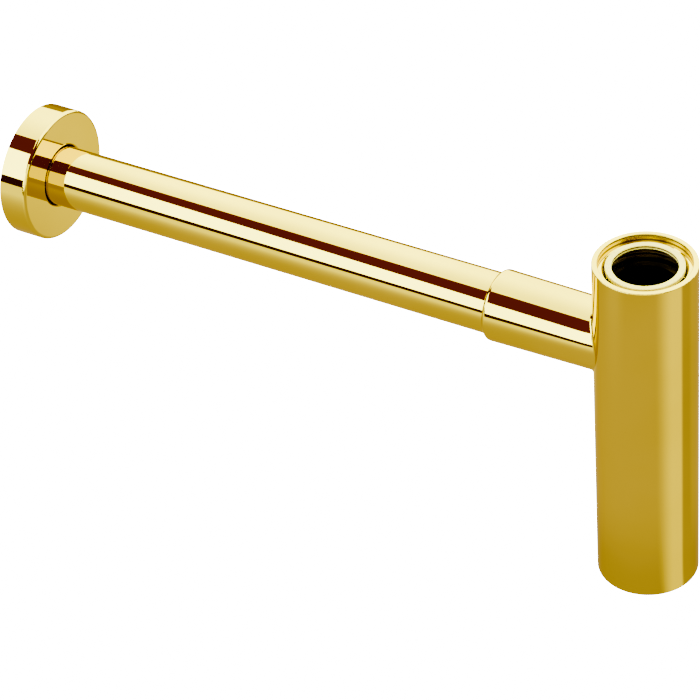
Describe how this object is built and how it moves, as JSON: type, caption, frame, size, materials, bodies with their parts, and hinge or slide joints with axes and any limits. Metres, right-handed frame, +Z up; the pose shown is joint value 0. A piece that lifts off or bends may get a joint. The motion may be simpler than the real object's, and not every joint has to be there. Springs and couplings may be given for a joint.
{
  "type": "sink trap",
  "caption": "Slim bottle trap for a basin: tall round body with a threaded inlet on top, straight outlet pipe sliding in a socket, round wall rosette and screwed cleaning plug in the base.",
  "frame": {"origin": "on the inlet's axis, at the outer end of the inlet's thread", "axes": "+Z up along the inlet's axis, the way the basin waste leaves; +Y along the outlet pipe towards the wall; +X to the right, seen from the basin's front"},
  "size_m": [0.0706, 0.3946, 0.1905],
  "materials": {
    "polished_gold": "mirror polished gold-coloured plating",
    "plain_brass": "drawn, unpolished",
    "pale_gasket": "smooth cream rubber",
    "black_rubber": "smooth black rubber"
  },
  "bodies": {
    "trap": {"trap_body": "polished_gold", "inlet_ring": "polished_gold", "dip_tube": "plain_brass", "dip_tube_seal": "black_rubber", "base_ring": "polished_gold"},
    "gasket": {"inlet_gasket": "pale_gasket"},
    "socket_rings": {"socket_o_ring_outer": "black_rubber", "socket_o_ring_inner": "black_rubber"},
    "pipe": {"outlet_pipe": "polished_gold"},
    "rosette_grip": {"rosette_o_ring": "black_rubber"},
    "rosette": {"wall_rosette": "polished_gold"},
    "plug_seal": {"base_plug_o_ring": "black_rubber"},
    "plug": {"base_plug": "polished_gold"}
  },
  "joints": [
    {"name": "gasket_slide", "type": "slide", "parent": "trap", "child": "gasket", "axis": [0, 0, -1], "range_m": [0, 0.0097]},
    {"name": "pipe_turn", "type": "hinge", "parent": "trap", "child": "socket_rings", "pos_m": [0, 0.07165, -0.0478], "axis": [0, 1, 0], "continuous": true},
    {"name": "pipe_slide", "type": "slide", "parent": "socket_rings", "child": "pipe", "axis": [0, 1, 0], "range_m": [-0.014, 0.015]},
    {"name": "rosette_slide", "type": "slide", "parent": "pipe", "child": "rosette_grip", "axis": [0, 1, 0], "range_m": [-0.235, 0]},
    {"name": "rosette_turn", "type": "hinge", "parent": "rosette_grip", "child": "rosette", "pos_m": [0, 0.3493, -0.0478], "axis": [0, 1, 0], "continuous": true},
    {"name": "plug_travel", "type": "slide", "parent": "trap", "child": "plug_seal", "axis": [0, 0, -1], "range_m": [0, 0.0075]},
    {"name": "plug_turn", "type": "hinge", "parent": "plug_seal", "child": "plug", "pos_m": [0, 0, -0.1863], "axis": [0, 0, -1], "range_deg": [0, 1200]}
  ],
  "couplings": [
    {"joint": "plug_turn", "follows": "plug_travel", "rad_per_m": 2721.2}
  ]
}
